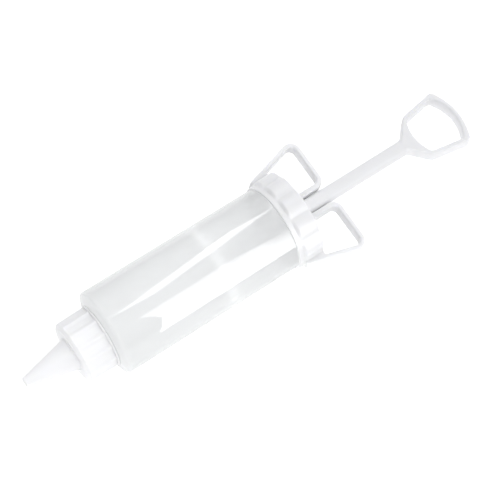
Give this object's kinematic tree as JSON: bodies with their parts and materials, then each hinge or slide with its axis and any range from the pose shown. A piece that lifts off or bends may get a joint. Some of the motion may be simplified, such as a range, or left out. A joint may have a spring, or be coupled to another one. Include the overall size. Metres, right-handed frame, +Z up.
{
  "type": "meat filling syringe",
  "caption": "Hand-held meat filling syringe: frosted barrel, screw cap with two finger loops, piston on a rod with a D-shaped grip, and a conical nozzle under a ribbed ring nut.",
  "frame": {"origin": "under the middle of the tool's length, on the surface that it lies on", "axes": "+X along the barrel's axis from the nozzle towards the grip, +Z up; the tool is rolled 15 degrees about its axis so that two petals of the cap touch the surface"},
  "size_m": [0.3508, 0.0872, 0.0653],
  "materials": {
    "frosted_barrel": "translucent frosted polypropylene, lightly glossy outside",
    "white_plastic": "smooth glossy white moulding",
    "piston_plastic": "smooth white moulding",
    "nozzle_plastic": "smooth semi-gloss white moulding",
    "silicone": "soft milky silicone"
  },
  "bodies": {
    "barrel": {"barrel": "frosted_barrel"},
    "cap_carriage": {"cap_gasket": "silicone"},
    "cap": {"end_cap": "white_plastic"},
    "piston": {"piston_front": "piston_plastic", "piston_seal": "silicone", "piston_back": "piston_plastic"},
    "plunger": {"plunger_rod": "white_plastic"},
    "nozzle_carriage": {"nozzle": "nozzle_plastic", "nozzle_gasket": "silicone"},
    "nut": {"ring_nut": "white_plastic"}
  },
  "joints": [
    {"name": "plunger_slide", "type": "slide", "parent": "barrel", "child": "piston", "axis": [1, 0, 0], "range_m": [-0.061, 0.06]},
    {"name": "plunger_turn", "type": "hinge", "parent": "piston", "child": "plunger", "pos_m": [-0.0296, 0, 0.03267], "axis": [1, 0, 0], "continuous": true},
    {"name": "cap_travel", "type": "slide", "parent": "barrel", "child": "cap_carriage", "axis": [1, 0, 0], "range_m": [0, 0.004]},
    {"name": "cap_turn", "type": "hinge", "parent": "cap_carriage", "child": "cap", "pos_m": [0.0286, 0, 0.03267], "axis": [1, 0, 0], "range_deg": [0, 360]},
    {"name": "nozzle_travel", "type": "slide", "parent": "barrel", "child": "nozzle_carriage", "axis": [-1, 0, 0], "range_m": [0, 0.013]},
    {"name": "nut_turn", "type": "hinge", "parent": "nozzle_carriage", "child": "nut", "pos_m": [-0.1284, 0, 0.03267], "axis": [-1, 0, 0], "range_deg": [0, 1170]}
  ],
  "couplings": [
    {"joint": "cap_travel", "follows": "cap_turn", "m_per_rad": 0.00063662},
    {"joint": "nozzle_travel", "follows": "nut_turn", "m_per_rad": 0.00063662}
  ]
}
